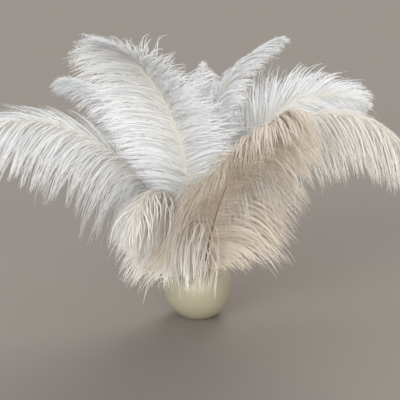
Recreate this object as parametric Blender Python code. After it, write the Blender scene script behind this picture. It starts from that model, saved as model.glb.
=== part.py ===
"""Ten white ostrich plumes standing in a small round ceramic vase.

Metres, +Z up. The origin is the centre of the vase's flat foot, on the surface
that it stands on. Headings are degrees turned from +X towards +Y, so -Y is the
front. Each plume is one closed solid: a round quill that widens into a thin
vane, whose surface follows the arching shaft and the hanging barbs.
"""

import bmesh
import bpy
import numpy as np
from typing import NamedTuple

# Vase: a ball cut flat at the foot and open at the mouth
VASE_RADIUS = 0.0390
FOOT_RADIUS = 0.0175
MOUTH_RADIUS = 0.0258
WALL = 0.0042
FLOOR_THICKNESS = 0.0080
VASE_SIDES = 40
MERGE = 0.00005

# Quills: they stand in a ring on the vase's floor and lean out to the rim
QUILL_RING_RADIUS = 0.0090
QUILL_GAP = 0.0010
QUILL_END_RADIUS = 0.0012
QUILL_RADIUS = 0.0018
SHAFT_TIP_RADIUS = 0.0006
VANE_HALF_THICKNESS = 0.0004

# The last barbs close over the end of the shaft
LAST_BARB_ANGLE = 6.0

# Fineness of each plume's solid
STATIONS = 24
BARB_POINTS = 3
CURVE_STEPS = 240
BARB_STEPS = 40

FEATHER_WHITE = (0.86, 0.85, 0.82, 1.0)
SHADED_WHITE = (0.80, 0.76, 0.68, 1.0)
CREAM_GLAZE = (0.72, 0.69, 0.54, 1.0)


class Plume(NamedTuple):
    """One plume's driving values: lengths in metres, angles in degrees.

    tilt from upright along the shaft = lean + bend * t ** power
    heading along the shaft = heading + veer * t ** 1.5
    """

    name: str
    length: float
    foot_heading: float
    heading: float
    veer: float
    lean: float
    bend: float
    power: float
    roll: float
    barb: float
    droop: float
    barb_angle: float = 72.0
    tip_angle: float = 24.0
    tip_taper: float = 0.45
    left: float = 1.0
    right: float = 1.0
    bare: float = 0.20
    crowded: float = 0.30
    clear: float = 0.50
    colour: tuple = FEATHER_WHITE


PLUMES = (
    Plume("plume_crown", 0.345, 262, 240, -32, 3, 56, 2.30, -16, 0.090, 0.55,
          barb_angle=66, tip_angle=34, tip_taper=0.25, left=0.75, crowded=0.35),
    Plume("plume_back_left", 0.332, 150, 146, 10, 8, 86, 2.20, -10, 0.064, 0.80,
          tip_angle=18),
    Plume("plume_far_left", 0.362, 184, 188, 20, 7, 92, 1.40, 15, 0.100, 1.50,
          barb_angle=60, left=1.1, right=0.8, clear=0.60),
    Plume("plume_slim", 0.340, 85, 80, -75, 1.5, 72, 2.70, 0, 0.048, 0.60,
          barb_angle=50, tip_angle=12),
    Plume("plume_back", 0.305, 117, 86, 0, 5, 55, 1.10, 0, 0.065, 0.90,
          clear=0.55),
    Plume("plume_upper_right", 0.358, 20, 42, -45, 2, 115, 1.85, -50, 0.078, 0.45,
          barb_angle=60, tip_taper=0.55),
    Plume("plume_back_right", 0.345, 52, 50, -40, 3, 108, 1.35, 0, 0.072, 0.90,
          clear=0.58),
    Plume("plume_front_right", 0.307, 300, 292, 19, 2, 52, 0.80, 8, 0.105, 1.20,
          bare=0.16, crowded=0.40, colour=SHADED_WHITE),
    Plume("plume_far_right", 0.395, 346, 346, -26, 6, 135, 2.05, -8, 0.108, 1.50,
          barb_angle=60, crowded=0.35, clear=0.62),
    Plume("plume_front_left", 0.262, 225, 246, 0, 5, 140, 2.20, -8, 0.086, 1.70,
          barb_angle=62, tip_angle=30, left=0.50, bare=0.20, clear=0.66),
)


def ease(x, start, end):
    """0 up to start, 1 past end, and a smooth S between."""
    x = np.clip((x - start) / (end - start), 0.0, 1.0)
    return x * x * (3.0 - 2.0 * x)


def shaft_angles(plume, t):
    """Tilt from upright and heading, in radians, at shares t of the length."""
    tilt = np.radians(plume.lean + plume.bend * t**plume.power)
    heading = np.radians(plume.heading + plume.veer * t**1.5)
    return tilt, heading


def shaft_direction(plume, t):
    """Unit vector along the shaft at shares t of the length."""
    tilt, heading = shaft_angles(plume, t)
    level = np.sin(tilt)
    return np.stack([level * np.cos(heading), level * np.sin(heading), np.cos(tilt)], 1)


def shaft_points(plume, t):
    """The foot of the quill plus the sum of the directions up to each t."""
    middles = (np.arange(CURVE_STEPS) + 0.5) / CURVE_STEPS
    steps = shaft_direction(plume, middles) * plume.length / CURVE_STEPS
    path = np.vstack([np.zeros(3), np.cumsum(steps, axis=0)])
    marks = np.linspace(0.0, 1.0, CURVE_STEPS + 1)
    points = np.stack([np.interp(t, marks, path[:, axis]) for axis in range(3)], 1)
    around = np.radians(plume.foot_heading)
    ring = QUILL_RING_RADIUS * np.array([np.cos(around), np.sin(around)])
    return points + np.array([ring[0], ring[1], FLOOR_THICKNESS + QUILL_GAP])


def vane_frame(plume, t):
    """Shaft direction, the vane's side direction and the vane's outer face."""
    along = shaft_direction(plume, t)
    heading = shaft_angles(plume, t)[1]
    level = np.stack([np.sin(heading), -np.cos(heading), np.zeros_like(t)], 1)
    face = np.cross(level, along)
    roll = np.radians(plume.roll)
    side = level * np.cos(roll) + face * np.sin(roll)
    return along, side, np.cross(side, along)


def vane_share(plume, t):
    """0 on the bare quill, rising evenly to 1 at the tip of the vane."""
    return np.clip((t - plume.bare) / (1.0 - plume.bare), 0.0, 1.0)


def barb_length(plume, t, hand):
    """The barbs grow over the first third and shorten towards the tip.

    Low on the shaft, where neighbours crowd, the solid follows only a part of
    each barb; past plume.clear it follows the whole barb.
    """
    share = vane_share(plume, t)
    grown = ease(share, -0.02, 0.32) * (1.0 - plume.tip_taper * share**3)
    opened = ease(t, plume.clear - 0.15, plume.clear + 0.10)
    reach = plume.crowded + (1.0 - plume.crowded) * opened
    return plume.barb * grown * reach * (plume.right if hand > 0 else plume.left)


def barb_rows(plume, t, hand):
    """Points along the barb rooted at each t: out at its angle, then hanging.

    Its direction is the root direction, fading by a third, plus a pull
    straight down that grows to plume.droop at the barb's end.
    """
    along, side, face = vane_frame(plume, t)
    share = vane_share(plume, t)
    angle = plume.barb_angle * (1.0 - share) + plume.tip_angle * share
    closing = ease(share, 0.85, 1.0)
    angle = np.radians(angle * (1.0 - closing) + LAST_BARB_ANGLE * closing)
    root = np.cos(angle)[:, None] * along + hand * np.sin(angle)[:, None] * side
    root = root - 0.1 * face
    out = (np.arange(BARB_STEPS) + 0.5) / BARB_STEPS
    pull = np.array([0.0, 0.0, -plume.droop]) * (out**1.1)[:, None]
    heads = root[:, None, :] * (1.0 - 0.35 * out[None, :, None]) + pull[None]
    heads /= np.linalg.norm(heads, axis=2, keepdims=True)
    path = np.cumsum(heads, axis=1) / BARB_STEPS
    path = np.concatenate([np.zeros((len(t), 1, 3)), path], axis=1)
    picks = np.linspace(0, BARB_STEPS, BARB_POINTS + 1).round().astype(int)
    lengths = barb_length(plume, t, hand)
    return path[:, picks] * lengths[:, None, None]


def plume_rings(plume):
    """Closed rings, one for each station from the quill's foot to the tip.

    On the bare quill a ring is a regular polygon. Along the vane it flattens to
    a thin loop: over the left barb, the shaft and the right barb, and back
    underneath.
    """
    quill = np.array([0.0, 0.5]) * plume.bare
    vane = plume.bare + (1.0 - plume.bare) * np.linspace(0, 1, STATIONS - 2) ** 0.9
    t = np.concatenate([quill, vane])
    along, side, face = vane_frame(plume, t)
    left = barb_rows(plume, t, -1)[:, ::-1]
    right = barb_rows(plume, t, 1)[:, 1:]
    row = np.concatenate([left, right], axis=1)
    across = row.shape[1]
    place = np.arange(across)
    turn = np.pi - (place + 0.5) * np.pi / across
    radius = np.interp(
        t, [0.0, 0.1, 0.3, 1.0],
        [QUILL_END_RADIUS, QUILL_RADIUS, QUILL_RADIUS, SHAFT_TIP_RADIUS])
    flat = ease(vane_share(plume, t), 0.0, 0.12)[:, None]
    slope = np.gradient(row, axis=1)
    up = np.cross(slope, np.broadcast_to(along[:, None, :], slope.shape))
    up /= np.maximum(np.linalg.norm(up, axis=2, keepdims=True), 1e-9)
    up = up * flat[:, :, None] + face[:, None, :] * (1.0 - flat[:, :, None])
    up /= np.linalg.norm(up, axis=2, keepdims=True)
    shaft_height = np.where(place == BARB_POINTS, radius[:, None], 0.0)
    thin = np.maximum(VANE_HALF_THICKNESS, shaft_height)
    height = radius[:, None] * np.sin(turn) * (1.0 - flat) + thin * flat
    spread = radius[:, None] * np.cos(turn) * (1.0 - flat)
    centre = shaft_points(plume, t)[:, None, :] + row + side[:, None, :] * spread[:, :, None]
    over = centre + up * height[:, :, None]
    under = centre - up * height[:, :, None]
    return np.concatenate([over, under[:, ::-1]], axis=1)


def material(name, colour, roughness):
    made = bpy.data.materials.new(name)
    made.use_nodes = True
    shader = made.node_tree.nodes["Principled BSDF"]
    shader.inputs["Base Color"].default_value = colour
    shader.inputs["Roughness"].default_value = roughness
    return made


def add_object(name, bm, colour, roughness):
    mesh = bpy.data.meshes.new(name)
    bm.to_mesh(mesh)
    bm.free()
    mesh.shade_smooth()
    mesh.materials.append(material(name, colour, roughness))
    made = bpy.data.objects.new(name, mesh)
    bpy.context.scene.collection.objects.link(made)
    return made


def close_end(bm, ring):
    """Joins a ring's upper row to its lower row with a strip of faces."""
    half = len(ring) // 2
    for near in range(half - 1):
        far = len(ring) - 1 - near
        bm.faces.new([ring[near], ring[near + 1], ring[far - 1], ring[far]])


def build_plume(plume):
    bm = bmesh.new()
    rings = [[bm.verts.new(point) for point in ring] for ring in plume_rings(plume)]
    for lower, upper in zip(rings, rings[1:]):
        for here in range(len(lower)):
            after = (here + 1) % len(lower)
            bm.faces.new([lower[here], lower[after], upper[after], upper[here]])
    close_end(bm, rings[0])
    close_end(bm, rings[-1])
    bmesh.ops.recalc_face_normals(bm, faces=bm.faces)
    return add_object(plume.name, bm, plume.colour, 0.85)


def ball_arc(radius, centre_z, low_z, high_z, points):
    """Points (x, z) up a ball's side, from height low_z to height high_z."""
    angles = np.linspace(
        np.arcsin((low_z - centre_z) / radius),
        np.arcsin((high_z - centre_z) / radius), points)
    return [(radius * np.cos(a), centre_z + radius * np.sin(a)) for a in angles]


def vase_profile():
    """Half section (x, z): up the inside, round the lip, and down the outside."""
    centre_z = np.sqrt(VASE_RADIUS**2 - FOOT_RADIUS**2)
    inner_radius = VASE_RADIUS - WALL
    lip_z = centre_z + np.sqrt(VASE_RADIUS**2 - MOUTH_RADIUS**2)
    inside = ball_arc(inner_radius, centre_z, FLOOR_THICKNESS, lip_z - WALL / 2, 9)
    outside = ball_arc(VASE_RADIUS, centre_z, 0.0012, lip_z, 12)[::-1]
    middle = (np.array(inside[-1]) + np.array(outside[0])) / 2
    start = np.array(inside[-1]) - middle
    turned = [
        middle + start * np.cos(a) + np.array([start[1], -start[0]]) * np.sin(a)
        for a in np.radians([-36, -72, -108, -144])]
    foot = [(FOOT_RADIUS - 0.0006, 0.0), (0.0, 0.0)]
    return [(0.0, FLOOR_THICKNESS), *inside, *turned, *outside, *foot]


def build_vase():
    bm = bmesh.new()
    points = [bm.verts.new((x, 0.0, z)) for x, z in vase_profile()]
    for here, after in zip(points, points[1:]):
        bm.edges.new([here, after])
    vase = add_object("vase", bm, CREAM_GLAZE, 0.3)
    turn = vase.modifiers.new("turn", "SCREW")
    turn.steps = VASE_SIDES
    turn.render_steps = VASE_SIDES
    turn.use_merge_vertices = True
    turn.merge_threshold = MERGE
    turn.use_smooth_shade = True
    return vase


for old in list(bpy.data.objects):
    bpy.data.objects.remove(old)
build_vase()
for plume in PLUMES:
    build_plume(plume)
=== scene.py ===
"""Ostrich plumes in a round vase: barbs, shafts, glaze, light and camera.

Metres, +Z up. Each plume is a shaft with some nine hundred barbs, gathered into
pointed tufts, broad leaves of down behind them, and short barbules on every
barb. The vase is a turned ball with a satin cream glaze, darkened as painted
shade from the plumes over it.
"""

from typing import NamedTuple

import bpy
import numpy as np
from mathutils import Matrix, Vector


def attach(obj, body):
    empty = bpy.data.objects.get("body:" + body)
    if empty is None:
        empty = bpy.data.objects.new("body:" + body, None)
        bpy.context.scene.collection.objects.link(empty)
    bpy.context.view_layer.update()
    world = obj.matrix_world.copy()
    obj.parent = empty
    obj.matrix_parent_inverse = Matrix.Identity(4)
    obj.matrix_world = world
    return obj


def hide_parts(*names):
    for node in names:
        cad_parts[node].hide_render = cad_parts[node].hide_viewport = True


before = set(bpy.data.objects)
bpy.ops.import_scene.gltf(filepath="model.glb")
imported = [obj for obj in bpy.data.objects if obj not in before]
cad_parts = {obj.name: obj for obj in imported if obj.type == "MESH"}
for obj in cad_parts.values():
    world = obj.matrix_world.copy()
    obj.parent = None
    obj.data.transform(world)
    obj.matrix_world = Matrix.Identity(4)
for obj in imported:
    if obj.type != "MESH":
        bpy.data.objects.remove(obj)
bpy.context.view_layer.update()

# Vase
VASE_RADIUS = 0.0390
FOOT_RADIUS = 0.0175
MOUTH_RADIUS = 0.0258
WALL = 0.0042
FLOOR_THICKNESS = 0.0080
FOOT_EDGE = 0.0008
FOOT_EDGE_ANGLE = 1.5
VASE_SIDES = 96
VASE_GAP = 0.0012

# Glaze: heights where it gives way to bare clay at the foot and thins on the lip
CLAY_TOP = 0.0022
CLAY_FULL = 0.0012
LIP_START = 0.0638
LIP_END = 0.0662

# Plume values shared by all
QUILL_RING_RADIUS = 0.0090
QUILL_FOOT_HEIGHT = 0.0090
LAST_BARB_ANGLE = 6.0
CLOSING_START = 0.85
SET_BACK = 0.1
ROOT_FADE = 0.35
DROOP_POWER = 1.1
CURVE_STEPS = 240

# Barbs, and their widths as shares of the radius
BARBS_PER_SIDE = 440
BARB_STEPS = 24
BARB_POINTS = 8
BARB_RADIUS = 0.00062
BARB_SHARES = [0.0, 0.1, 0.6, 1.0]
BARB_WIDTHS = [0.5, 1.0, 0.75, 0.12]
BARB_THICKNESS = 0.28
BARB_ROLL = 0.28

# How much tufts differ from each other: length, angle in degrees, droop and lift
TUFT_STRETCH = 0.07
TUFT_SWING = 3.2
TUFT_WEIGHT = 0.13
TUFT_LIFT = 0.08

# How much the barbs of one tuft differ, and the waves along them in metres
BARB_STRETCH = 0.06
BARB_WEIGHT = 0.10
BARB_LIFT = 0.07
STRAY_SWING = 4.0
STRAY_LIFT = 0.10
ROOT_SPREAD = 0.0010
ROOT_INSET = 0.0008
WAVE = 0.0016
STRAY_WAVE = 0.003

# Barbules
BARBULES_PER_BARB = 12
BARBULE_LENGTH = 0.0065
BARBULE_RADIUS = 0.00016

# Webs: the broad leaves of down behind the barbs
WEBS_PER_SIDE = 130
WEB_RADIUS = 0.0022
WEB_SHARES = [0.0, 0.15, 0.55, 0.85, 1.0]
WEB_WIDTHS = [0.6, 1.0, 0.8, 0.35, 0.03]
WEB_THICKNESS = 0.12
WEB_ROLL = 0.22

# Flat map of a strand, and the strand's own form
MAP_NAME = "OFBake"
MAP_WIDTH = 0.005
STRAND_SIDES = 3
LOOSE_FLAT_ON = (0.31, 0.52, 0.80)

# Shafts: radii in metres at shares of the length
SHAFT_SHARES = [0.0, 0.02, 0.1, 0.3, 0.7, 1.0]
SHAFT_RADII = [0.0007, 0.0013, 0.0018, 0.0011, 0.0005, 0.0002]
SHAFT_RINGS = 64
SHAFT_SIDES = 10

# Camera: aim in metres, distance, degrees above level and lens in millimetres
CAMERA_AIM = (0.0022, 0.0, 0.136)
CAMERA_DISTANCE = 1.3
CAMERA_ELEVATION = 16.0
CAMERA_LENS = 105.0
LIGHT_AIM = (0.0, 0.0, 0.15)
FLOOR_SIZE = 60.0


class Plume(NamedTuple):
    """One plume's driving values: lengths in metres, angles in degrees.

    tilt from upright along the shaft = lean + bend * t ** power
    heading along the shaft = heading + veer * t ** 1.5
    bare is the share of the shaft with no barbs, and grow the share of the vane
    over which they reach full length. tip_taper and tip_trim shorten them at
    the tip. left and right scale the barbs on each hand, the pulls scale their
    droop and left_angle their angle. tuft is about how many barbs gather in one
    tuft, gather how far they do, scatter the spread of their angles and loose
    the share that stays out. cover scales how far the barbs' roots spread over
    the shaft, and filled the length of the webs of down.
    """

    node: str
    length: float
    foot_heading: float
    heading: float
    veer: float
    lean: float
    bend: float
    power: float
    roll: float
    barb: float
    droop: float
    barb_angle: float = 72.0
    tip_angle: float = 24.0
    tip_taper: float = 0.45
    left: float = 1.0
    right: float = 1.0
    bare: float = 0.20
    grow: float = 0.32
    left_angle: float = 1.0
    left_pull: float = 1.0
    right_pull: float = 1.0
    tip_trim: float = 0.15
    tuft: int = 5
    gather: float = 0.72
    scatter: float = 8.0
    loose: float = 0.05
    cover: float = 1.0
    filled: float = 1.0


class Surface(NamedTuple):
    """A mesh: points, four-sided and three-sided faces, flat map and shading."""

    verts: np.ndarray
    quads: np.ndarray
    tris: np.ndarray
    uv: np.ndarray
    smooth: bool


PLUMES = (
    Plume("plume_crown", 0.345, 262, 240, -32, 3, 56, 2.30, -16, 0.090, 0.55,
          barb_angle=66, tip_angle=40, tip_taper=0.20, left=0.98, tip_trim=0.40,
          left_angle=1.15, left_pull=0.50, loose=0.10, cover=0.15),
    Plume("plume_back_left", 0.332, 150, 146, 10, 8, 86, 2.20, -10, 0.064, 0.80,
          tip_angle=18, tip_trim=0.45),
    Plume("plume_far_left", 0.362, 184, 188, 20, 7, 92, 1.40, 15, 0.100, 1.50,
          barb_angle=60, tip_taper=0.60, left=1.1, right=0.95, right_pull=0.25,
          tuft=6, gather=0.97, filled=0.76),
    Plume("plume_slim", 0.340, 85, 80, -75, 1.5, 72, 2.70, 0, 0.048, 0.60,
          barb_angle=50, tip_angle=12, tip_trim=0.60),
    Plume("plume_back", 0.305, 117, 86, 0, 5, 55, 1.10, 0, 0.065, 0.90,
          tip_trim=0.40),
    Plume("plume_upper_right", 0.358, 20, 42, -45, 2, 115, 1.85, -50, 0.078, 0.45,
          barb_angle=60, tip_taper=0.55, left=1.05, grow=0.20, tip_trim=0.80),
    Plume("plume_back_right", 0.345, 52, 50, -40, 3, 108, 1.35, 0, 0.072, 0.90),
    Plume("plume_front_right", 0.307, 300, 292, 19, 2, 52, 0.80, 8, 0.105, 1.20,
          left=0.93, right=1.06, bare=0.13, grow=0.22, cover=0.0),
    Plume("plume_far_right", 0.395, 346, 346, -26, 6, 135, 2.05, -8, 0.108, 1.50,
          barb_angle=60, filled=0.80),
    Plume("plume_front_left", 0.262, 225, 246, 0, 5, 140, 2.20, -8, 0.094, 1.70,
          barb_angle=62, tip_angle=30, tip_taper=0.62, left=1.05, bare=0.13,
          grow=0.16, left_angle=0.10, left_pull=1.5, gather=0.50, scatter=24),
)


def ease(x, start, end):
    """0 up to start, 1 past end, and a smooth S between."""
    x = np.clip((x - start) / (end - start), 0.0, 1.0)
    return x * x * (3.0 - 2.0 * x)


def unit(vectors):
    """Each vector over its length."""
    return vectors / np.maximum(np.linalg.norm(vectors, axis=-1, keepdims=True), 1e-12)


def shaft_heading(plume, t):
    """Heading plus veer * t ** 1.5, in radians."""
    return np.radians(plume.heading + plume.veer * t**1.5)


def shaft_direction(plume, t):
    """Unit vector at the shaft's tilt and heading, at shares t of the length."""
    tilt = np.radians(plume.lean + plume.bend * t**plume.power)
    heading = shaft_heading(plume, t)
    level = np.sin(tilt)
    return np.stack([level * np.cos(heading), level * np.sin(heading), np.cos(tilt)], 1)


def shaft_points(plume, t):
    """The quill's foot plus the sum of the directions up to each t."""
    middles = (np.arange(CURVE_STEPS) + 0.5) / CURVE_STEPS
    steps = shaft_direction(plume, middles) * plume.length / CURVE_STEPS
    path = np.vstack([np.zeros(3), np.cumsum(steps, axis=0)])
    marks = np.linspace(0.0, 1.0, CURVE_STEPS + 1)
    points = np.stack([np.interp(t, marks, path[:, axis]) for axis in range(3)], 1)
    around = np.radians(plume.foot_heading)
    ring = QUILL_RING_RADIUS * np.array([np.cos(around), np.sin(around)])
    return points + np.array([ring[0], ring[1], QUILL_FOOT_HEIGHT])


def vane_frame(plume, t):
    """Shaft direction, the vane's side direction and the vane's outer face.

    The side is level and square to the shaft, turned about the shaft by roll.
    """
    along = shaft_direction(plume, t)
    heading = shaft_heading(plume, t)
    level = np.stack([np.sin(heading), -np.cos(heading), np.zeros_like(t)], 1)
    face = np.cross(level, along)
    roll = np.radians(plume.roll)
    side = level * np.cos(roll) + face * np.sin(roll)
    return along, side, np.cross(side, along)


def vane_share(plume, t):
    """0 on the bare quill, rising evenly to 1 at the tip of the vane."""
    return np.clip((t - plume.bare) / (1.0 - plume.bare), 0.0, 1.0)


def map_across(plume, t, hand):
    """Place on the flat map: half way across at the foot, out to an edge at the tip."""
    return 0.5 + hand * (0.02 + 0.46 * vane_share(plume, t))


def barb_paths(plume, t, hand, stretch, swing, weight, lift):
    """A row of points along the barb rooted at each t.

    The barb sets out from the shaft at its angle (swing degrees off), raised by
    lift towards the face. Its direction is that root direction, fading by a
    third, plus a pull straight down that grows to droop * weight at its end,
    times the pull of its hand.
    Its length rises from the vane's foot to plume.grow and then falls by
    tip_taper * share ** 3. The last barbs close over the end of the shaft.
    """
    along, side, face = vane_frame(plume, t)
    share = vane_share(plume, t)
    angle = plume.barb_angle * (1.0 - share) + plume.tip_angle * share
    if hand < 0:
        angle = angle * plume.left_angle
    closing = ease(share, CLOSING_START, 1.0)
    angle = np.radians(angle * (1.0 - closing) + LAST_BARB_ANGLE * closing + swing)
    root = np.cos(angle)[:, None] * along + hand * np.sin(angle)[:, None] * side
    root = root + (lift - SET_BACK)[:, None] * face
    out = (np.arange(BARB_STEPS) + 0.5) / BARB_STEPS
    down = np.array([0.0, 0.0, -plume.droop]) * (out**DROOP_POWER)[:, None]
    heads = root[:, None, :] * (1.0 - ROOT_FADE * out[None, :, None])
    weight = weight * (plume.right_pull if hand > 0 else plume.left_pull)
    heads = unit(heads + down[None] * weight[:, None, None])
    path = np.cumsum(heads, axis=1) / BARB_STEPS
    path = np.concatenate([np.zeros((len(t), 1, 3)), path], axis=1)
    picks = np.linspace(0, BARB_STEPS, BARB_POINTS).round().astype(int)
    grown = ease(share, -0.02, plume.grow) * (1.0 - plume.tip_taper * share**3)
    grown = grown * (1.0 - plume.tip_trim * closing)
    length = plume.barb * grown * stretch * (plume.right if hand > 0 else plume.left)
    return shaft_points(plume, t)[:, None, :] + path[:, picks] * length[:, None, None]


def rest_on_vase(points):
    """Points inside the vase's ball or under the floor, moved out to just clear of it.

    A point nearer to the ball's centre than its radius and a gap slides out
    along the line from that centre.
    """
    centre = np.array([0.0, 0.0, np.sqrt(VASE_RADIUS**2 - FOOT_RADIUS**2)])
    away = points - centre
    reach = np.linalg.norm(away, axis=-1, keepdims=True)
    points = centre + away * np.maximum((VASE_RADIUS + VASE_GAP) / reach, 1.0)
    points[..., 2] = np.maximum(points[..., 2], VASE_GAP)
    return points


def grow_barbs(plume, hand, rng):
    """Barb paths on one side of the shaft, and where on it each is rooted.

    Neighbouring barbs belong to tufts of about plume.tuft. Each barb slides towards
    its tuft's leading path as it leaves the shaft, so a tuft ends in a point;
    a few stray barbs stay out of their tufts.
    """
    count = BARBS_PER_SIDE
    even = (np.arange(count) + 0.5 + rng.uniform(-0.4, 0.4, count)) / count
    t = plume.bare + (1.0 - plume.bare) * even**0.92
    sizes = rng.integers(plume.tuft - 2, plume.tuft + 3, count // 3)
    tuft = np.searchsorted(np.cumsum(sizes), np.arange(count), side="right")
    members = np.maximum(np.bincount(tuft), 1)
    lead_t = np.bincount(tuft, t) / members
    tufts = len(members)
    calm = 1.0 - 0.7 * ease(vane_share(plume, lead_t), 0.6, 1.0)
    stretch = 1.0 + TUFT_STRETCH * calm * rng.normal(size=tufts)
    swing = TUFT_SWING * calm * rng.normal(size=tufts)
    weight = 1.0 + TUFT_WEIGHT * calm * rng.normal(size=tufts)
    lift = TUFT_LIFT * calm * rng.normal(size=tufts)
    lead = barb_paths(plume, lead_t, hand, stretch, swing, weight, lift)[tuft]
    stray = (rng.random(count) < plume.loose) & (vane_share(plume, t) < 0.9)
    own = barb_paths(
        plume, t, hand,
        stretch[tuft] * rng.normal(0.97, BARB_STRETCH, count),
        swing[tuft] + rng.normal(0.0, plume.scatter + STRAY_SWING * stray),
        weight[tuft] * rng.normal(1.0, BARB_WEIGHT, count),
        lift[tuft] + rng.normal(0.0, BARB_LIFT + STRAY_LIFT * stray))
    across, face = vane_frame(plume, t)[1:]
    root = face * rng.normal(0.0, ROOT_SPREAD, (count, 1)) - ROOT_INSET * hand * across
    own = own + plume.cover * root[:, None]
    out = np.linspace(0.0, 1.0, BARB_POINTS)
    pull = plume.gather * ease(out, 0.3, 1.0)[None, :, None] * ~stray[:, None, None]
    path = own + (lead - own) * pull
    phase = rng.uniform(0.0, 6.28, (count, 1, 3))
    turns = rng.uniform(3.0, 8.0, (count, 1, 1))
    wave = np.sin(phase + turns * out[None, :, None]) - np.sin(phase)
    path = path + (WAVE + STRAY_WAVE * stray)[:, None, None] * wave * out[None, :, None]
    return rest_on_vase(path), t


def grow_webs(plume, hand, rng):
    """Paths of the broad leaves of down behind the barbs, and where each is rooted.

    They follow the barbs' own formula, at 0.70 to 0.92 of the length times
    plume.filled.
    """
    count = WEBS_PER_SIDE
    even = (np.arange(count) + rng.uniform(0.0, 1.0, count)) / count
    t = plume.bare + (1.0 - plume.bare) * (0.02 + 0.96 * even)
    stretch = plume.filled * rng.uniform(0.70, 0.92, count)
    path = barb_paths(plume, t, hand, stretch, rng.normal(0.0, 3.0, count),
                      rng.normal(1.0, 0.08, count), rng.normal(-0.02, 0.05, count))
    return rest_on_vase(path), t


def ring_axes(paths, flat_on=LOOSE_FLAT_ON, roll=0.0):
    """Two unit vectors across each point of each path.

    The first is square to the path and to flat_on, and both are then turned
    about the path by roll radians.
    """
    heads = unit(np.gradient(paths, axis=1))
    first = unit(np.cross(heads, flat_on))
    second = np.cross(heads, first)
    return (first * np.cos(roll) + second * np.sin(roll),
            second * np.cos(roll) - first * np.sin(roll))


def strand_mesh(paths, radii, across, down, flat_on=LOOSE_FLAT_ON, roll=0.0, thickness=1.0):
    """Three-sided strands along the paths, each ending in a point.

    Ring point = path point + radius * (cos a * first + sin a * second), with a
    at 90, 210 and 330 degrees and the second term times thickness. On the flat
    map a strand is a narrow upright strip: across is its place from the vane's
    foot to its tip, and down runs along the barb.
    """
    count, points = paths.shape[:2]
    sides = STRAND_SIDES
    first, second = ring_axes(paths, flat_on, roll)
    turn = np.radians([90.0, 210.0, 330.0])
    spread = (np.cos(turn)[None, None, :, None] * first[:, :, None]
              + thickness * np.sin(turn)[None, None, :, None] * second[:, :, None])
    rings = paths[:, :, None] + spread * radii[..., None, None]
    rings = rings[:, :-1].reshape(count, -1, 3)
    verts = np.concatenate([rings, paths[:, -1:]], axis=1)
    each = verts.shape[1]
    ring, corner = np.meshgrid(np.arange(points - 2), np.arange(sides), indexing="ij")
    here = (ring * sides + corner).ravel()
    beside = (ring * sides + (corner + 1) % sides).ravel()
    quads = np.stack([here, beside, beside + sides, here + sides], 1)
    last = sides * (points - 2)
    tris = np.array([[2, 1, 0], [last, last + 1, each - 1],
                     [last + 1, last + 2, each - 1], [last + 2, last, each - 1]])
    start = (np.arange(count) * each)[:, None, None]
    step = np.append(np.repeat(np.arange(points - 1), sides), points - 1)
    place = np.append(np.tile(np.arange(sides) - 1.0, points - 1) * MAP_WIDTH, 0.0)
    u = across[:, None] + place[None]
    v = np.take_along_axis(down, np.broadcast_to(step[None], (count, each)), axis=1)
    return Surface(verts.reshape(-1, 3), (quads[None] + start).reshape(-1, 4),
                   (tris[None] + start).reshape(-1, 3),
                   np.stack([u, v], 2).reshape(-1, 2), smooth=False)


def vane_strands(plume, paths, roots, hand, radius, shares, widths, thickness, spread, rng):
    """Flat strands along the paths of one side of a vane.

    Each lies flat to the vane's outer face but for a random roll of about
    spread radians. Its radius is radius times widths, taken at shares of its
    length.
    """
    out = np.linspace(0.0, 1.0, BARB_POINTS)
    radii = radius * np.broadcast_to(np.interp(out, shares, widths)[None], paths.shape[:2])
    down = np.broadcast_to(out[None], paths.shape[:2])
    outer = vane_frame(plume, roots)[2][:, None, :]
    roll = rng.normal(0.0, spread, (len(paths), 1, 1))
    return strand_mesh(paths, radii, map_across(plume, roots, hand), down, outer, roll, thickness)


def barbule_mesh(paths, across, rng):
    """Short spikes that leave the barbs at 25 to 65 degrees, on all sides.

    They shorten by 0.70 of their length from the barb's root to its end.
    """
    count = len(paths)
    total = count * BARBULES_PER_BARB
    barb = np.repeat(np.arange(count), BARBULES_PER_BARB)
    out = rng.uniform(0.04, 0.98, total)
    step = out * (BARB_POINTS - 1)
    low = np.minimum(step.astype(int), BARB_POINTS - 2)
    part = (step - low)[:, None]
    base = paths[barb, low] * (1.0 - part) + paths[barb, low + 1] * part
    head = unit(paths[barb, low + 1] - paths[barb, low])
    away = unit(np.cross(head, rng.normal(size=(total, 3))))
    angle = np.radians(rng.uniform(25.0, 65.0, total))[:, None]
    reach = BARBULE_LENGTH * rng.uniform(0.5, 1.3, total) * (1.0 - 0.70 * out)
    ahead = head * np.cos(angle) + away * np.sin(angle)
    tip = base + ahead * reach[:, None]
    line = np.stack([base, tip], axis=1)
    thick = np.broadcast_to(np.array([BARBULE_RADIUS, 0.0]), (total, 2))
    down = np.stack([out, np.clip(out + 0.04, 0.0, 1.0)], axis=1)
    return strand_mesh(line, thick, across[barb], down)


def closed_tube(rings, foot, end):
    """Points, quads and tris of a tube through rings of points, closed at two poles.

    A quad joins two neighbours on one ring to the same two on the next, and each
    end ring is closed by triangles to its pole.
    """
    count, sides = rings.shape[:2]
    ring, corner = np.meshgrid(np.arange(count - 1), np.arange(sides), indexing="ij")
    here = (ring * sides + corner).ravel()
    beside = (ring * sides + (corner + 1) % sides).ravel()
    quads = np.stack([here, beside, beside + sides, here + sides], 1)
    around = np.arange(sides)
    after = (around + 1) % sides
    last = (count - 1) * sides
    foot_pole = np.full(sides, count * sides)
    tris = np.concatenate([np.stack([after, around, foot_pole], 1),
                           np.stack([around + last, after + last, foot_pole + 1], 1)])
    return np.concatenate([rings.reshape(-1, 3), [foot], [end]]), quads, tris


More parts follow.
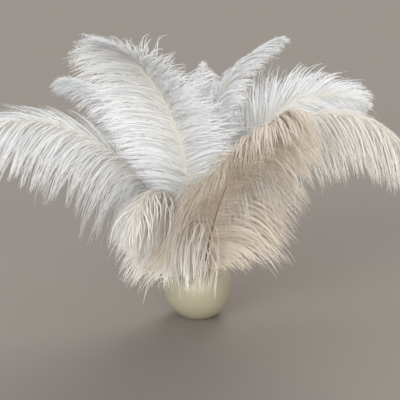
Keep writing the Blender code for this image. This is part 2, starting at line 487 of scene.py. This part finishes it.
def shaft_mesh(plume):
    """A round tube along the shaft, thickest a tenth of the way up, closed."""
    t = np.linspace(0.0, 1.0, SHAFT_RINGS)
    path = shaft_points(plume, t)[None]
    first, second = ring_axes(path)
    turn = np.linspace(0.0, 2.0 * np.pi, SHAFT_SIDES, endpoint=False)
    radius = np.interp(t, SHAFT_SHARES, SHAFT_RADII)[:, None, None]
    rings = path[0][:, None] + radius * (
        np.cos(turn)[None, :, None] * first[0][:, None]
        + np.sin(turn)[None, :, None] * second[0][:, None])
    verts, quads, tris = closed_tube(rings, path[0, 0], path[0, -1])
    u = np.tile(np.arange(SHAFT_SIDES) / SHAFT_SIDES, SHAFT_RINGS)
    v = np.repeat(t, SHAFT_SIDES)
    uv = np.stack([np.append(u, [0.5, 0.5]), np.append(v, [0.0, 1.0])], 1)
    return Surface(verts, quads, tris, uv, smooth=True)


def add_piece(name, surfaces, slots, finishes):
    """One object from the surfaces joined; slots holds each one's place in finishes."""
    offsets = np.cumsum([0] + [len(surface.verts) for surface in surfaces[:-1]])
    verts = np.concatenate([surface.verts for surface in surfaces])
    quads = np.concatenate([surface.quads + off for surface, off in zip(surfaces, offsets)])
    tris = np.concatenate([surface.tris + off for surface, off in zip(surfaces, offsets)])
    corners = np.concatenate([quads.ravel(), tris.ravel()]).astype(np.int32)
    starts = np.concatenate([
        np.arange(len(quads)) * 4,
        len(quads) * 4 + np.arange(len(tris)) * 3]).astype(np.int32)
    faces = ([len(surface.quads) for surface in surfaces]
             + [len(surface.tris) for surface in surfaces])
    worn = np.repeat(np.tile(slots, 2), faces).astype(np.int32)
    smooth = np.repeat(np.tile([surface.smooth for surface in surfaces], 2), faces)
    uv = np.concatenate([surface.uv for surface in surfaces])[corners]
    mesh = bpy.data.meshes.new(name)
    mesh.vertices.add(len(verts))
    mesh.vertices.foreach_set("co", verts.astype(np.float32).ravel())
    mesh.loops.add(len(corners))
    mesh.loops.foreach_set("vertex_index", corners)
    mesh.polygons.add(len(starts))
    mesh.polygons.foreach_set("loop_start", starts)
    mesh.polygons.foreach_set("material_index", worn)
    mesh.update(calc_edges=True)
    layer = mesh.uv_layers.new(name=MAP_NAME)
    layer.uv.foreach_set("vector", uv.astype(np.float32).ravel())
    for finish in finishes:
        mesh.materials.append(finish)
    mesh.polygons.foreach_set("use_smooth", smooth)
    piece = bpy.data.objects.new(name, mesh)
    bpy.context.scene.collection.objects.link(piece)
    return piece


def arc(middle, radius, start, end, steps):
    """Points (x, z) at even angles on a circle, start and end in degrees from +X."""
    angle = np.radians(np.linspace(start, end, steps))
    return np.stack([middle[0] + radius * np.cos(angle),
                     middle[1] + radius * np.sin(angle)], 1)


def vase_profile():
    """Half section of the vase from the middle of its foot to its inner floor.

    The outside is one circle from foot to mouth, the lip is a half circle, and
    the inside follows the outside a wall's thickness in.
    """
    middle = (0.0, np.sqrt(VASE_RADIUS**2 - FOOT_RADIUS**2))
    foot = np.degrees(np.arcsin(-middle[1] / VASE_RADIUS))
    mouth = np.degrees(np.arccos(MOUTH_RADIUS / VASE_RADIUS))
    inner = VASE_RADIUS - WALL
    lip = (VASE_RADIUS - WALL / 2.0) * np.array(
        [np.cos(np.radians(mouth)), np.sin(np.radians(mouth))])
    floor = np.degrees(np.arcsin((FLOOR_THICKNESS - middle[1]) / inner))
    ring = np.linspace(0.0, FOOT_RADIUS - FOOT_EDGE, 6)
    base = np.stack([ring, np.zeros(6)], 1)
    outside = arc(middle, VASE_RADIUS, foot + FOOT_EDGE_ANGLE, mouth, 60)
    edge = arc((lip[0], middle[1] + lip[1]), WALL / 2.0, mouth, mouth + 180.0, 9)[1:-1]
    inside = arc(middle, inner, mouth, floor, 40)
    bottom = np.stack([np.linspace(inside[-1, 0], 0.0, 5)[1:],
                       np.full(4, FLOOR_THICKNESS)], 1)
    return np.concatenate([base, outside, edge, inside, bottom])


def add_vase(glaze):
    """The profile carried round the Z axis, closed at both poles."""
    profile = vase_profile()
    turn = np.linspace(0.0, 2.0 * np.pi, VASE_SIDES, endpoint=False)
    r, z = profile[1:-1, 0], profile[1:-1, 1]
    rings = np.stack([r[:, None] * np.cos(turn), r[:, None] * np.sin(turn),
                      np.broadcast_to(z[:, None], (len(z), VASE_SIDES))], 2)
    verts, quads, tris = closed_tube(rings, (0.0, 0.0, 0.0), (0.0, 0.0, FLOOR_THICKNESS))
    surface = Surface(verts, quads, tris, np.zeros((len(verts), 2)), smooth=True)
    piece = add_piece("round_vase", [surface], [0], [glaze])
    piece.data.uv_layers.remove(piece.data.uv_layers[0])
    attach(piece, "root")
    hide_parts("vase")


def add_plume(plume, seed, barb_finish, shaft_finish):
    """The shaft and, on each hand, its barbs, their barbules and the webs of down."""
    rng = np.random.default_rng(seed)
    surfaces = [shaft_mesh(plume)]
    for hand in (1, -1):
        barbs, roots = grow_barbs(plume, hand, rng)
        surfaces.append(vane_strands(plume, barbs, roots, hand, BARB_RADIUS, BARB_SHARES,
                                     BARB_WIDTHS, BARB_THICKNESS, BARB_ROLL, rng))
        surfaces.append(barbule_mesh(barbs, map_across(plume, roots, hand), rng))
        webs, roots = grow_webs(plume, hand, rng)
        surfaces.append(vane_strands(plume, webs, roots, hand, WEB_RADIUS, WEB_SHARES,
                                     WEB_WIDTHS, WEB_THICKNESS, WEB_ROLL, rng))
    slots = [0] + [1] * (len(surfaces) - 1)
    piece = add_piece(plume.node + "_barbs", surfaces, slots, [shaft_finish, barb_finish])
    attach(piece, "root")
    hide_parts(plume.node)


def new_material(name):
    """A material with an empty node tree, and its nodes and links."""
    made = bpy.data.materials.new(name)
    made.use_nodes = True
    made.node_tree.nodes.clear()
    return made, made.node_tree.nodes, made.node_tree.links


def tone_group():
    """Group "uneven_tone": soft noise that darkens a colour by up to Amount."""
    group = bpy.data.node_groups.new("uneven_tone", "ShaderNodeTree")
    for name, kind in (("Vector", "Vector"), ("Scale", "Float"), ("Amount", "Float"),
                       ("Colour", "Color")):
        group.interface.new_socket(name, in_out="INPUT", socket_type="NodeSocket" + kind)
    group.interface.new_socket("Colour", in_out="OUTPUT", socket_type="NodeSocketColor")
    group.interface.new_socket("Tone", in_out="OUTPUT", socket_type="NodeSocketFloat")
    nodes, links = group.nodes, group.links
    given = nodes.new("NodeGroupInput")
    made = nodes.new("NodeGroupOutput")
    noise = nodes.new("ShaderNodeTexNoise")
    noise.inputs["Detail"].default_value = 4.0
    links.new(given.outputs["Vector"], noise.inputs["Vector"])
    links.new(given.outputs["Scale"], noise.inputs["Scale"])
    tone = rise(nodes, links, noise.outputs["Fac"], 0.32, 0.68)
    keep = nodes.new("ShaderNodeMath")
    keep.operation = "SUBTRACT"
    keep.inputs[0].default_value = 1.0
    links.new(given.outputs["Amount"], keep.inputs[1])
    share = nodes.new("ShaderNodeMapRange")
    links.new(tone, share.inputs["Value"])
    links.new(keep.outputs[0], share.inputs["To Min"])
    shade = nodes.new("ShaderNodeVectorMath")
    shade.operation = "SCALE"
    links.new(given.outputs["Colour"], shade.inputs[0])
    links.new(share.outputs["Result"], shade.inputs["Scale"])
    links.new(shade.outputs["Vector"], made.inputs["Colour"])
    links.new(tone, made.inputs["Tone"])
    return group


def add_tone(nodes, links, vector, scale, amount, colour):
    """An uneven_tone group node; colour is a socket or four numbers."""
    node = nodes.new("ShaderNodeGroup")
    node.node_tree = bpy.data.node_groups["uneven_tone"]
    links.new(vector, node.inputs["Vector"])
    node.inputs["Scale"].default_value = scale
    node.inputs["Amount"].default_value = amount
    if isinstance(colour, tuple):
        node.inputs["Colour"].default_value = colour
    else:
        links.new(colour, node.inputs["Colour"])
    return node


def map_stretched(nodes, links, vector, scale):
    """The vector times scale along each of its axes."""
    mapping = nodes.new("ShaderNodeMapping")
    mapping.inputs["Scale"].default_value = scale
    links.new(vector, mapping.inputs["Vector"])
    return mapping.outputs["Vector"]


def ramp_between(nodes, links, value, start, end, first, last):
    """A colour that runs from first to last as value goes from start to end."""
    ramp = nodes.new("ShaderNodeValToRGB")
    ramp.color_ramp.elements[0].position = start
    ramp.color_ramp.elements[0].color = first
    ramp.color_ramp.elements[1].position = end
    ramp.color_ramp.elements[1].color = last
    links.new(value, ramp.inputs["Fac"])
    return ramp.outputs["Color"]


def rise(nodes, links, value, start, end, low=0.0, high=1.0):
    """From low to high as value goes from start to end, and level beyond them."""
    node = nodes.new("ShaderNodeMapRange")
    node.inputs["From Min"].default_value = start
    node.inputs["From Max"].default_value = end
    node.inputs["To Min"].default_value = low
    node.inputs["To Max"].default_value = high
    links.new(value, node.inputs["Value"])
    return node.outputs["Result"]


def flat_map(nodes, links):
    """The flat map, and the share down each barb or up the shaft that it holds."""
    uv = nodes.new("ShaderNodeUVMap")
    uv.uv_map = MAP_NAME
    split = nodes.new("ShaderNodeSeparateXYZ")
    links.new(uv.outputs["UV"], split.inputs["Vector"])
    return uv.outputs["UV"], split.outputs["Y"]


def add_bump(nodes, links, height, strength, distance):
    """Small relief that follows the height."""
    bump = nodes.new("ShaderNodeBump")
    bump.inputs["Strength"].default_value = strength
    bump.inputs["Distance"].default_value = distance
    links.new(height, bump.inputs["Height"])
    return bump


def wear(nodes, links, shader):
    """Makes the shader the material's surface."""
    out = nodes.new("ShaderNodeOutputMaterial")
    links.new(shader.outputs[0], out.inputs["Surface"])


def barb_material(name, root, end):
    """Soft white fibre that light passes through.

    Creamier by the shaft, with fine streaks along each barb and broader, fainter
    patches from one tuft to the next.
    """
    made, nodes, links = new_material(name)
    uv, down = flat_map(nodes, links)
    base = ramp_between(nodes, links, down, 0.0, 0.45, root, end)
    streaks = map_stretched(nodes, links, uv, (160, 4, 1))
    streaked = add_tone(nodes, links, streaks, 1.0, 0.07, base)
    patches = map_stretched(nodes, links, uv, (22, 2, 1))
    patched = add_tone(nodes, links, patches, 1.0, 0.04, streaked.outputs["Colour"])
    shader = nodes.new("ShaderNodeBsdfPrincipled")
    shader.inputs["Specular IOR Level"].default_value = 0.30
    shader.inputs["Sheen Weight"].default_value = 0.25
    shader.inputs["Sheen Roughness"].default_value = 0.4
    links.new(patched.outputs["Colour"], shader.inputs["Base Color"])
    rough = rise(nodes, links, streaked.outputs["Tone"], 0.0, 1.0, 0.85, 0.62)
    links.new(rough, shader.inputs["Roughness"])
    through = nodes.new("ShaderNodeBsdfTranslucent")
    links.new(patched.outputs["Colour"], through.inputs["Color"])
    mix = nodes.new("ShaderNodeMixShader")
    mix.inputs[0].default_value = 0.50
    links.new(shader.outputs[0], mix.inputs[1])
    links.new(through.outputs[0], mix.inputs[2])
    wear(nodes, links, mix)
    return made


def shaft_material(name, quill, tip):
    """Horn that runs from the quill's colour to the tip's, streaked lengthwise."""
    made, nodes, links = new_material(name)
    uv, up = flat_map(nodes, links)
    base = ramp_between(nodes, links, up, 0.05, 0.7, quill, tip)
    streaks = map_stretched(nodes, links, uv, (9, 14, 1))
    streaked = add_tone(nodes, links, streaks, 1.0, 0.18, base)
    shader = nodes.new("ShaderNodeBsdfPrincipled")
    shader.inputs["Coat Weight"].default_value = 0.15
    links.new(streaked.outputs["Colour"], shader.inputs["Base Color"])
    rough = rise(nodes, links, streaked.outputs["Tone"], 0.0, 1.0, 0.48, 0.32)
    links.new(rough, shader.inputs["Roughness"])
    wear(nodes, links, shader)
    return made


def glaze_material():
    """Satin cream glaze, darkened as painted shade from the plumes over it, faintly clouded and
    pitted, with a bare clay foot.

    The clay shows below about 2 mm, and the glaze thins towards it on the lip.
    """
    made, nodes, links = new_material("cream_glaze")
    place = nodes.new("ShaderNodeTexCoord").outputs["Object"]
    split = nodes.new("ShaderNodeSeparateXYZ")
    links.new(place, split.inputs["Vector"])
    # The cream is darkened well below a glaze's own tone: painted shade from the plumes that
    # overhang the vase.
    clouded = add_tone(nodes, links, place, 38.0, 0.07, (0.370, 0.340, 0.240, 1.0))
    specked = add_tone(nodes, links, place, 900.0, 0.10, clouded.outputs["Colour"])
    foot = rise(nodes, links, split.outputs["Z"], CLAY_TOP, CLAY_FULL)
    lip = rise(nodes, links, split.outputs["Z"], LIP_START, LIP_END, 0.0, 0.5)
    bare = nodes.new("ShaderNodeMath")
    bare.operation = "MAXIMUM"
    links.new(foot, bare.inputs[0])
    links.new(lip, bare.inputs[1])
    colour = nodes.new("ShaderNodeMix")
    colour.data_type = "RGBA"
    links.new(bare.outputs[0], colour.inputs["Factor"])
    links.new(specked.outputs["Colour"], colour.inputs["A"])
    colour.inputs["B"].default_value = (0.36, 0.28, 0.19, 1.0)
    satin = rise(nodes, links, clouded.outputs["Tone"], 0.0, 1.0, 0.44, 0.33)
    rough = nodes.new("ShaderNodeMath")
    rough.operation = "MULTIPLY_ADD"
    links.new(foot, rough.inputs[0])
    rough.inputs[1].default_value = 0.4
    links.new(satin, rough.inputs[2])
    pits = add_bump(nodes, links, specked.outputs["Tone"], 0.12, 0.0003)
    waves = add_bump(nodes, links, clouded.outputs["Tone"], 0.25, 0.0010)
    links.new(pits.outputs["Normal"], waves.inputs["Normal"])
    shader = nodes.new("ShaderNodeBsdfPrincipled")
    shader.inputs["Coat Weight"].default_value = 0.20
    shader.inputs["Coat Roughness"].default_value = 0.25
    links.new(colour.outputs["Result"], shader.inputs["Base Color"])
    links.new(rough.outputs[0], shader.inputs["Roughness"])
    links.new(waves.outputs["Normal"], shader.inputs["Normal"])
    wear(nodes, links, shader)
    return made


def floor_material():
    """Flat pale grey with no shine."""
    made, nodes, links = new_material("pale_floor")
    shader = nodes.new("ShaderNodeBsdfPrincipled")
    shader.inputs["Base Color"].default_value = (0.235, 0.212, 0.190, 1.0)
    shader.inputs["Roughness"].default_value = 1.0
    shader.inputs["Specular IOR Level"].default_value = 0.0
    wear(nodes, links, shader)
    return made


def add_floor():
    """A level plane through the origin, wide enough to reach past any view."""
    bpy.ops.mesh.primitive_plane_add(size=FLOOR_SIZE)
    floor = bpy.context.object
    floor.name = "floor"
    floor.data.materials.append(floor_material())


def add_light(name, place, softness, strength, colour):
    """A soft light from far off in the direction of place; softness is in degrees."""
    data = bpy.data.lights.new(name, "SUN")
    data.angle = np.radians(softness)
    data.energy = strength
    data.color = colour
    lamp = bpy.data.objects.new(name, data)
    bpy.context.scene.collection.objects.link(lamp)
    aim_at(lamp, place, LIGHT_AIM)


def aim_at(thing, place, aim):
    """Puts the thing at place and turns its -Z axis towards aim, +Y up."""
    thing.location = place
    thing.rotation_euler = (Vector(aim) - Vector(place)).to_track_quat("-Z", "Y").to_euler()


def add_camera():
    """Straight in front of the aim point, raised by the elevation."""
    data = bpy.data.cameras.new("camera")
    data.lens = CAMERA_LENS
    data.sensor_width = 36.0
    camera = bpy.data.objects.new("camera", data)
    bpy.context.scene.collection.objects.link(camera)
    elevation = np.radians(CAMERA_ELEVATION)
    aim = np.array(CAMERA_AIM)
    place = aim + CAMERA_DISTANCE * np.array([0.0, -np.cos(elevation), np.sin(elevation)])
    aim_at(camera, place, aim)
    bpy.context.scene.camera = camera


def add_world():
    """Soft light from all round; the camera sees a backdrop in the far floor's tone."""
    world = bpy.data.worlds.new("studio")
    world.use_nodes = True
    nodes, links = world.node_tree.nodes, world.node_tree.links
    light = nodes["Background"]
    light.inputs["Color"].default_value = (0.78, 0.80, 0.84, 1.0)
    light.inputs["Strength"].default_value = 0.85
    backdrop = nodes.new("ShaderNodeBackground")
    backdrop.inputs["Color"].default_value = (0.333, 0.301, 0.275, 1.0)
    seen = nodes.new("ShaderNodeLightPath")
    mix = nodes.new("ShaderNodeMixShader")
    links.new(seen.outputs["Is Camera Ray"], mix.inputs[0])
    links.new(light.outputs[0], mix.inputs[1])
    links.new(backdrop.outputs[0], mix.inputs[2])
    links.new(mix.outputs[0], nodes["World Output"].inputs["Surface"])
    bpy.context.scene.world = world


add_camera()
add_world()
add_floor()
add_light("key", (-1.2, -2.1, 0.95), 40.0, 2.4, (0.95, 0.98, 1.0))
add_light("fill", (0.9, -2.3, 0.25), 50.0, 2.3, (1.0, 0.90, 0.78))
add_light("rim", (0.6, 1.8, 1.6), 35.0, 2.3, (1.0, 0.98, 0.95))
bpy.context.scene.view_settings.view_transform = "Standard"

tone_group()
# The plain white barbs; the two finishes below are warmer, darker copies of it that paint in
# shade.
cool = barb_material("cool_white_barbs", (0.93, 0.92, 0.89, 1.0), (0.955, 0.96, 0.965, 1.0))
# A warmer copy of the white barbs: painted warm shade for the lower and right plumes.
painted_warm_shade = barb_material("painted_warm_shade_barbs", (0.91, 0.875, 0.815, 1.0), (0.950, 0.933, 0.898, 1.0))
# A darker, warmer copy of the white barbs: painted warm shade for the front right plume.
painted_deep_shade = barb_material("painted_deep_shade_barbs", (0.86, 0.79, 0.68, 1.0), (0.905, 0.850, 0.770, 1.0))
pale = shaft_material("cream_shaft", (0.70, 0.60, 0.41, 1.0), (0.82, 0.77, 0.63, 1.0))
brown = shaft_material("brown_shaft", (0.22, 0.15, 0.09, 1.0), (0.40, 0.31, 0.21, 1.0))
barb_finishes = {"plume_front_right": painted_deep_shade, "plume_far_right": painted_warm_shade,
                 "plume_back_right": painted_warm_shade, "plume_front_left": painted_warm_shade}
shaft_finishes = {"plume_front_right": brown}
for seed, plume in enumerate(PLUMES):
    add_plume(plume, seed, barb_finishes.get(plume.node, cool),
              shaft_finishes.get(plume.node, pale))

add_vase(glaze_material())
